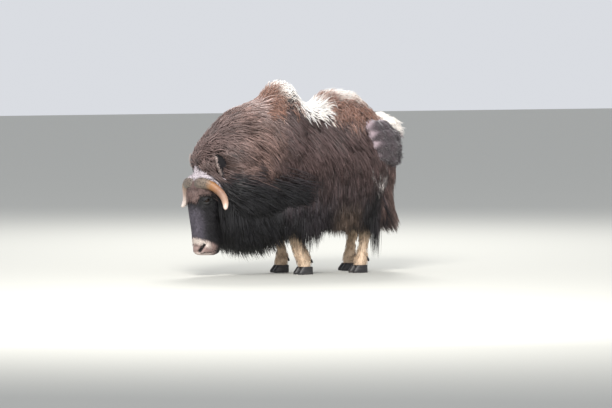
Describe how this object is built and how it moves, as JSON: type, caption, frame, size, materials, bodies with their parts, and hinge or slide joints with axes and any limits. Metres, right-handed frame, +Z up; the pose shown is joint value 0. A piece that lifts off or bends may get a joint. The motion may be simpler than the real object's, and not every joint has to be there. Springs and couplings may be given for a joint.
{
  "type": "muskox",
  "caption": "Life-size still model of a standing muskox cow with her head lowered, horns, cloven hooves and a long hanging coat that is part shed.",
  "frame": {"origin": "on the floor, midway along and across the muskox's bounding box", "axes": "-X towards her head, -Y towards her left side, +Z up"},
  "size_m": [1.538, 0.675, 1.2588],
  "materials": {
    "coat": "matte",
    "mane": "matte",
    "face": "matte",
    "leg": "matte",
    "horn": "satin",
    "hoof": "satin",
    "eye": "gloss"
  },
  "bodies": {
    "root": {"head": "face", "neck": "mane", "torso": "coat", "tail": "coat", "eye_left": "eye", "eye_right": "eye", "horn_left": "horn", "horn_right": "horn", "ear_left": "face", "ear_right": "face", "leg_front_left": "leg", "leg_front_right": "leg", "leg_rear_left": "leg", "leg_rear_right": "leg", "hoof_front_left_inner": "hoof", "hoof_front_left_outer": "hoof", "hoof_front_right_inner": "hoof", "hoof_front_right_outer": "hoof", "hoof_rear_left_inner": "hoof", "hoof_rear_left_outer": "hoof", "hoof_rear_right_inner": "hoof", "hoof_rear_right_outer": "hoof"}
  },
  "joints": []
}
